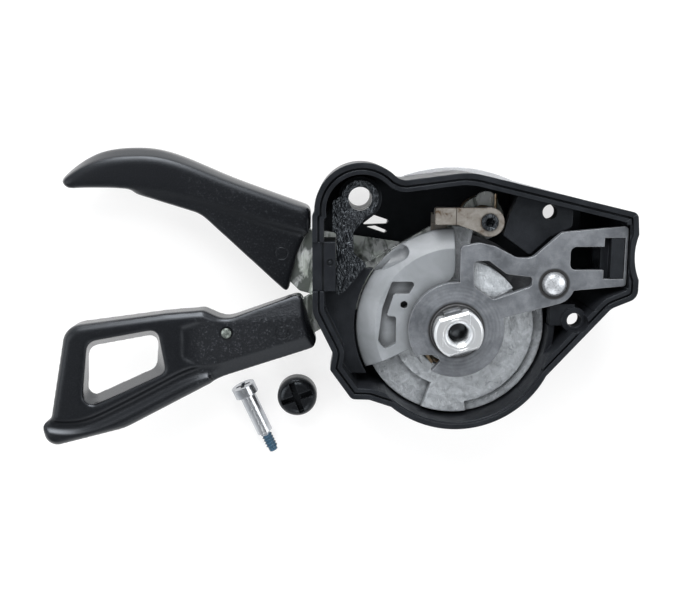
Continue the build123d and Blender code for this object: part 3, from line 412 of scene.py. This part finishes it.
def greased_zinc(name, tint, rough):
    """Zinc-plated lever plate, wavy from the press, under smears of dark green grease, laid on more
    heavily outside the case as painted shade too.
    """
    p = Paint(name)
    grease = (0.05, 0.062, 0.052)
    base = zinc_nodes(p, tint, rough, metal=0.55, wavy=1.0)
    film = p.noise(330, rough=0.6, stretch=(1.0, 0.4, 1.0), bend=1.2)
    # Outside the case wall the dark film spreads further: grease, and painted shade on the plate there.
    past_gate_shade = p.ramp(p.axis(p.coords, "X"), LEFT_X - 1.0 * MM, LEFT_X + 2.0 * MM, (0.14, 0.0))
    film = p.ramp(p.maths("ADD", film, past_gate_shade), 0.5, 0.64, (0.0, 0.85))
    p.set(Base_Color=p.mix(film, base, grease))
    return p.mat


def domed_zinc(name, node, tint, pale, dark):
    """Rivet head: domed, frosted by the tool, and painted darker towards its rim as painted shade of the
    dome.
    """
    p = Paint(name)
    low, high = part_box(node)
    radius = (high[0] - low[0]) / 2
    out = p.near(middle(node))
    dome = p.maths("SUBTRACT", 1.0, p.maths("POWER", p.maths("DIVIDE", out, radius), 2.0))
    frost = p.noise(2600, rough=0.65)
    base = p.mix(p.ramp(frost, 0.35, 0.65), tint, pale)
    height = p.maths("ADD", dome, p.times(frost, 0.05))
    # Darker towards the rim: painted shade of the dome.
    p.set(Base_Color=p.mix(p.ramp(out, 0.72 * radius, radius, (0.0, 0.7)), base, dark))
    p.set(Metallic=0.55, Roughness=p.ramp(frost, 0.3, 0.7, (0.22, 0.4)))
    p.set(Normal=p.bump(height, 0.28 * radius, p.edge(0.15 * MM)))
    return p.mat


def bored_zinc(name, tint, rough):
    """Bright axle whose bore is painted darker towards its bottom: painted shade in the bore."""
    p = Paint(name)
    # Colour of the painted shade deep in the bore.
    grease = (0.075, 0.083, 0.09)
    base = zinc_nodes(p, tint, rough)
    # Painted shade: darker deeper down the bore.
    depth = p.ramp(p.axis(p.coords, "Z"), AXLE_TOP - 3.6 * MM, AXLE_TOP - 0.6 * MM, (0.92, 0.0))
    in_bore = p.ramp(p.near(AXLE), AXLE_BORE_R + 0.15 * MM, AXLE_BORE_R + 0.4 * MM, (1.0, 0.0))
    p.set(Base_Color=p.mix(p.times(depth, in_bore), base, grease))
    return p.mat


def patched_zinc(name, start, way, patch):
    """Zinc-plated screw with a blue locking patch on its thread."""
    p = Paint(name)
    patch_blue = (0.016, 0.075, 0.135)
    base = zinc_nodes(p, (0.4, 0.42, 0.45), (0.16, 0.3), metal=0.9, pale=(0.6, 0.62, 0.65), wavy=0.03)
    ragged = p.ramp(p.noise(700, detail=3), 0.3, 0.7, (-0.5 * MM, 0.5 * MM))
    reached = p.maths("ADD", p.along(start, way), ragged)
    blue = p.times(p.ramp(reached, patch - 0.2 * MM, patch + 0.2 * MM), 0.97)
    p.set(Base_Color=p.mix(blue, base, patch_blue))
    p.set(Metallic=p.ramp(blue, 0.0, 0.97, (0.9, 0.0)))
    return p.mat


def cast_grey(name):
    """Pale cast metal with a skin of grease: lumps, smears painted lighter as a wet highlight, a wet
    shine, and painted shade with grime in its corners.
    """
    p = Paint(name)
    dark = (0.33, 0.352, 0.374)
    pale = (0.5, 0.53, 0.56)
    pit = (0.22, 0.235, 0.25)
    smear_and_highlight = (0.56, 0.585, 0.61)
    dirt_and_shade = (0.06, 0.064, 0.068)
    blotch = p.noise(640, detail=5, rough=0.62, bend=0.9)
    lump = p.cells(620, (1.0, 1.0, 0.4))
    smear = p.noise(1300, rough=0.6, stretch=(1.0, 0.5, 1.0), bend=1.6)
    base = p.mix(p.ramp(blotch, 0.38, 0.64), dark, pale)
    base = p.mix(p.ramp(lump, 0.1, 0.55, (0.35, 0.0)), base, pit)
    # Grease smears painted lighter: a painted wet highlight on them.
    base = p.mix(p.ramp(smear, 0.58, 0.72), base, smear_and_highlight)
    height = p.maths("ADD", smear, p.times(lump, 0.8))
    # Ambient occlusion darkens the corners: painted shade, with the grime that gathers there.
    p.set(Base_Color=p.mix(p.times(p.crevice(0.9 * MM), 0.75), base, dirt_and_shade))
    p.set(Metallic=0.2, Roughness=p.ramp(blotch, 0.3, 0.7, (0.24, 0.5)))
    p.set(Normal=p.bump(height, 0.26 * MM, p.edge(0.35 * MM)))
    return p.mat


def grey_drum(name):
    """Grey acetal, smooth, with faint flow marks, rubbed cable tracks, and painted shade with grime in
    its slot.
    """
    p = Paint(name)
    dark = (0.175, 0.188, 0.2)
    pale = (0.23, 0.245, 0.262)
    tracked = (0.16, 0.17, 0.18)
    dirt_and_shade = (0.05, 0.053, 0.056)
    flow = p.noise(210, rough=0.5, bend=0.6)
    fine = p.noise(2800, detail=2)
    track = p.ramp(p.noise(900, detail=3, rough=0.6, stretch=(1.0, 1.0, 0.15)), 0.55, 0.75)
    base = p.mix(p.ramp(flow, 0.35, 0.7), dark, pale)
    base = p.mix(p.times(track, 0.35), base, tracked)
    # Ambient occlusion darkens the slot: painted shade, with the grime that gathers there.
    p.set(Base_Color=p.mix(p.times(p.crevice(1.8 * MM), 0.7), base, dirt_and_shade))
    p.set(Roughness=p.ramp(fine, 0.3, 0.7, (0.4, 0.52)))
    p.set(Normal=p.bump(fine, 0.012 * MM, p.edge(0.3 * MM)))
    return p.mat


def tan_nickel(name, seam_x):
    """Nickel-plated pawl gone tan, with brown stains, dark edges and a seam across its nose."""
    p = Paint(name)
    tan = (0.27, 0.256, 0.235)
    dull = (0.185, 0.166, 0.144)
    stained = (0.08, 0.05, 0.028)
    edge_brown = (0.055, 0.036, 0.022)
    seam_brown = (0.03, 0.02, 0.014)
    stain = p.noise(520, detail=5, rough=0.6, bend=0.5)
    fine = p.noise(2400, detail=3)
    base = p.mix(p.ramp(stain, 0.4, 0.62), tan, dull)
    base = p.mix(p.ramp(stain, 0.58, 0.7), base, stained)
    base = p.mix(p.times(p.rubbed(0.35 * MM), 0.8), base, edge_brown)
    off_seam = p.off(p.axis(p.coords, "X"), seam_x)
    p.set(Base_Color=p.mix(p.ramp(off_seam, 0.06 * MM, 0.14 * MM, (0.85, 0.0)), base, seam_brown))
    p.set(Metallic=0.5, Roughness=p.ramp(fine, 0.3, 0.7, (0.34, 0.5)))
    p.set(Normal=p.bump(fine, 0.02 * MM, p.edge(0.3 * MM)))
    return p.mat


def silver_cover(name):
    """Satin silver paint with a fine flake."""
    p = Paint(name)
    flake = p.noise(5200, detail=2)
    p.set(Base_Color=p.mix(p.ramp(flake, 0.4, 0.7), (0.58, 0.59, 0.61), (0.72, 0.73, 0.75)))
    p.set(Metallic=0.4, Roughness=p.ramp(p.noise(500, detail=3), 0.3, 0.7, (0.3, 0.42)))
    p.set(Normal=p.bump(flake, 0.006 * MM, p.edge(0.3 * MM)))
    return p.mat


def spring_wire(name):
    """Drawn wire, brown with old grease."""
    p = Paint(name)
    stain = p.noise(900)
    p.set(Base_Color=p.mix(p.ramp(stain, 0.35, 0.65), (0.34, 0.27, 0.19), (0.15, 0.1, 0.055)))
    p.set(Metallic=0.8, Roughness=p.ramp(stain, 0.3, 0.7, (0.25, 0.45)))
    p.set(Normal=p.bump(p.noise(3000, detail=2), 0.01 * MM))
    return p.mat


# Finishes
case_black = black_moulding(
    "case_black", 0.03 * MM, dark=(0.006, 0.0066, 0.008), pale=(0.013, 0.0142, 0.017), rough=(0.3, 0.46)
)
plug_black = black_moulding(
    "plug_black", 0.015 * MM, dark=(0.005, 0.0055, 0.0065), pale=(0.01, 0.0105, 0.012), rough=(0.2, 0.34)
)
port_black = port_moulding("port_black", "cable_port_boss")
paddle_black = lever_moulding("paddle_black", PADDLE_MARK, PADDLE_SMOOTH_X, grain=0.05 * MM, glint_strength=0.25)
grip_black = lever_moulding("grip_black", GRIP_MARK, GRIP_SMOOTH_X, grain=0.2 * MM, glint_strength=0.5)
plate_black = greasy_steel("plate_black")
plate_dark = dark_plate("plate_dark", (0.08, 0.087, 0.098), (0.18, 0.192, 0.21), GREASE_RINGS)
steel_dark = dark_plate("steel_dark", (0.05, 0.053, 0.058), (0.09, 0.095, 0.102))
zinc = greased_zinc("zinc", tint=(0.68, 0.74, 0.68), rough=(0.14, 0.3))
nut_bright = bright_zinc("nut_bright", tint=(0.78, 0.81, 0.84), rough=(0.14, 0.28))
post_bright = domed_zinc(
    "post_bright", "plate_post", (0.42, 0.44, 0.465), (0.55, 0.57, 0.6), (0.1, 0.105, 0.11)
)
rivet_zinc = domed_zinc(
    "rivet_zinc", "release_lever_rivet", (0.09, 0.105, 0.095), (0.2, 0.225, 0.21), (0.015, 0.017, 0.016)
)
axle_bright = bored_zinc("axle_bright", tint=(0.78, 0.81, 0.84), rough=(0.14, 0.28))
screw_bright = patched_zinc("screw_bright", screw_start, screw_way, screw_tip_at + SCREW_PATCH_IN)
disc_grey = cast_grey("disc_grey")
drum_grey = grey_drum("drum_grey")
pawl_tan = tan_nickel("pawl_tan", PAWL_SEAM_X)
cover_silver = silver_cover("cover_silver")
wire_brown = spring_wire("wire_brown")

finishes = {
    "case_floor": case_black,
    "case_wall_end": case_black,
    "case_wall_upper": case_black,
    "case_wall_ear": case_black,
    "case_wall_left": case_black,
    "case_wall_bay": case_black,
    "case_wall_lower": case_black,
    "base_screw_pad": case_black,
    "base_screw_boss": case_black,
    "mount_boss": case_black,
    "cable_port_boss": port_black,
    "cable_exit_boss": case_black,
    "outer_cover": cover_silver,
    "mount_plate": plate_black,
    "main_axle": axle_bright,
    "lever_spacer": zinc,
    "axle_nut": nut_bright,
    "lock_washer": plate_dark,
    "top_plate": plate_dark,
    "plate_post": post_bright,
    "pawl_pin": plate_black,
    "index_disc": disc_grey,
    "index_ring": steel_dark,
    "feed_ratchet": steel_dark,
    "cable_drum": drum_grey,
    "hold_pawl": pawl_tan,
    "main_lever_plate": zinc,
    "main_lever_paddle": paddle_black,
    "feed_pawl_pin": zinc,
    "feed_pawl": pawl_tan,
    "release_lever_plate": zinc,
    "release_lever_grip": grip_black,
    "release_lever_rivet": rivet_zinc,
    "shoulder_screw": screw_bright,
    "cable_port_plug": plug_black,
    "winder_spring": wire_brown,
    "lever_spring": wire_brown,
    "pawl_spring": wire_brown,
    "release_spring": wire_brown,
}


def dress(mesh, finish):
    """Gives a mesh one material."""
    mesh.materials.clear()
    mesh.materials.append(finish)


for name, finish in finishes.items():
    dress(nodes[name].data, finish)


def show(name, data):
    """New object in the scene."""
    thing = bpy.data.objects.new(name, data)
    bpy.context.scene.collection.objects.link(thing)
    return thing


def smooth_shaded(mesh):
    """Shades all faces of a mesh smooth."""
    mesh.polygons.foreach_set("use_smooth", [True] * len(mesh.polygons))


def add_rounded(name, node, body, passes, finish):
    """Moulded lever with its edges rounded as the real moulding has them, in place of its plain solid."""
    source = show(name + "_source", nodes[node].data.copy())
    remesh = source.modifiers.new("cells", "REMESH")
    remesh.mode = "VOXEL"
    remesh.voxel_size = LEVER_CELL
    smooth = source.modifiers.new("soften", "SMOOTH")
    smooth.factor = 0.5
    smooth.iterations = passes
    shaped = source.evaluated_get(bpy.context.evaluated_depsgraph_get())
    mesh = bpy.data.meshes.new_from_object(shaped)
    bpy.data.objects.remove(source)
    mesh.name = name
    dress(mesh, finish)
    smooth_shaded(mesh)
    piece = show(name, mesh)
    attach(piece, body)
    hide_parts(node)


def add_thread(name, start, way, length, root, crest, pitch, finish):
    """Helical ridge from a root radius to a crest radius, run out at both ends."""
    count = int(length / pitch * THREAD_STEPS)
    turn = Vector(way).to_track_quat("Z", "Y")
    lean = math.copysign(THREAD_HALF_WIDTH * pitch, crest - root)
    points = []
    for k in range(count + 1):
        angle = 2 * math.pi * k / THREAD_STEPS
        level = length * k / count
        half_turns_to_end = 2 * min(k, count - k) / THREAD_STEPS
        grown = max(THREAD_END, min(1.0, half_turns_to_end))
        tall = root + (crest - root) * grown
        for radius, shift in ((root, lean * grown), (tall, 0.0), (root, -lean * grown)):
            spot = Vector((radius * math.cos(angle), radius * math.sin(angle), level + shift))
            points.append(start + turn @ spot)
    last = 3 * count
    faces = [(2, 1, 0), (last, last + 1, last + 2)]
    for k in range(count):
        for side in range(3):
            a = 3 * k + side
            b = 3 * k + (side + 1) % 3
            faces.append((a, b, b + 3, a + 3))
    mesh = bpy.data.meshes.new(name)
    mesh.from_pydata(points, [], faces)
    smooth_shaded(mesh)
    dress(mesh, finish)
    piece = show(name, mesh)
    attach(piece, "housing")


def add_cut_screw():
    """The screw with its tip cut down to the root of its thread, in place of the plain one."""
    mesh = nodes["shoulder_screw"].data.copy()
    mesh.name = "cut_screw"
    for point in mesh.vertices:
        along = (point.co - screw_start).dot(screw_way)
        on_axis = screw_start + screw_way * along
        out = point.co - on_axis
        if along > screw_tip_at - CLOSE and out.length < SCREW_TIP_R + CLOSE:
            point.co = on_axis + out * (SCREW_ROOT_R / SCREW_TIP_R)
    piece = show("cut_screw", mesh)
    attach(piece, "housing")
    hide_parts("shoulder_screw")


add_rounded("rounded_paddle", "main_lever_paddle", "main_lever", PADDLE_PASSES, paddle_black)
add_rounded("rounded_grip", "release_lever_grip", "release_lever", GRIP_PASSES, grip_black)
add_thread(
    "axle_bore_thread",
    start=Vector((*AXLE, AXLE_TOP - BORE_THREAD_FROM)),
    way=UP,
    length=BORE_THREAD_L,
    root=AXLE_BORE_R + BORE_THREAD_SUNK,
    crest=AXLE_BORE_R - BORE_THREAD_DEEP,
    pitch=BORE_PITCH,
    finish=axle_bright,
)
add_cut_screw()
add_thread(
    "screw_tip_thread",
    start=screw_start + screw_way * (screw_tip_at + SCREW_THREAD_IN),
    way=screw_way,
    length=SCREW_TIP_L - 2 * SCREW_THREAD_IN,
    root=SCREW_ROOT_R - SCREW_THREAD_SUNK,
    crest=SCREW_TIP_R,
    pitch=SCREW_PITCH,
    finish=screw_bright,
)


def make_floor():
    """Wide pale floor under the part, which shows white and keeps a soft shadow."""
    bpy.ops.mesh.primitive_plane_add(size=4.0, location=(0, 0, -0.02 * MM))
    floor = bpy.context.object
    floor.name = "floor"
    p = Paint("floor_white")
    light = p.add("LightPath")
    seen = p.maths("MAXIMUM", light.outputs["Is Camera Ray"], light.outputs["Is Glossy Ray"])
    seen = p.maths("MAXIMUM", seen, light.outputs["Is Transmission Ray"])
    p.set(Base_Color=(0.3, 0.3, 0.3), Roughness=0.9, Specular_IOR_Level=0.0)
    p.set(Emission_Color=(1.0, 1.0, 1.0), Emission_Strength=p.times(seen, 0.72))
    floor.data.materials.append(p.mat)


def make_sky():
    """Soft light from all round, darker overhead where the camera stands."""
    world = bpy.context.scene.world or bpy.data.worlds.new("studio")
    bpy.context.scene.world = world
    world.use_nodes = True
    tree = world.node_tree
    background = tree.nodes["Background"]
    way = tree.nodes.new("ShaderNodeTexCoord")
    parts = tree.nodes.new("ShaderNodeSeparateXYZ")
    ramp = tree.nodes.new("ShaderNodeMapRange")
    tree.links.new(way.outputs["Generated"], parts.inputs[0])
    tree.links.new(parts.outputs["Z"], ramp.inputs["Value"])
    ramp.inputs["From Min"].default_value = 0.25
    ramp.inputs["From Max"].default_value = 0.95
    ramp.inputs["To Min"].default_value = 0.75
    ramp.inputs["To Max"].default_value = 0.14
    tree.links.new(ramp.outputs["Result"], background.inputs["Strength"])
    background.inputs["Color"].default_value = (0.96, 0.98, 1.0, 1.0)


def add_light(name, at, size, power):
    """Square soft light that faces the part."""
    data = bpy.data.lights.new(name, "AREA")
    data.shape = "SQUARE"
    data.size = size
    data.energy = power
    lamp = show(name, data)
    lamp.location = at
    part_at = Vector((-0.02, 0, 0))
    lamp.rotation_euler = (part_at - Vector(at)).to_track_quat("-Z", "Y").to_euler()


def make_camera():
    """Camera at the photograph's angle."""
    data = bpy.data.cameras.new("camera")
    data.sensor_width = CAMERA_SENSOR
    data.lens = CAMERA_LENS
    data.clip_start = CAMERA_NEAR
    camera = show("camera", data)
    camera.location = CAMERA_AT
    camera.rotation_euler = (-CAMERA_TILT, 0, 0)
    bpy.context.scene.camera = camera


make_floor()
make_sky()
add_light("key", at=(-0.1, 0.46, 0.42), size=0.4, power=3.5)
add_light("left", at=(-0.5, 0.0, 0.42), size=0.35, power=1.4)
add_light("right", at=(0.48, 0.05, 0.45), size=0.35, power=1.6)
add_light("front", at=(0.05, -0.48, 0.45), size=0.35, power=1.0)
add_light("low", at=(-0.12, 0.55, 0.17), size=0.3, power=2.6)
make_camera()
bpy.context.scene.view_settings.view_transform = "Standard"
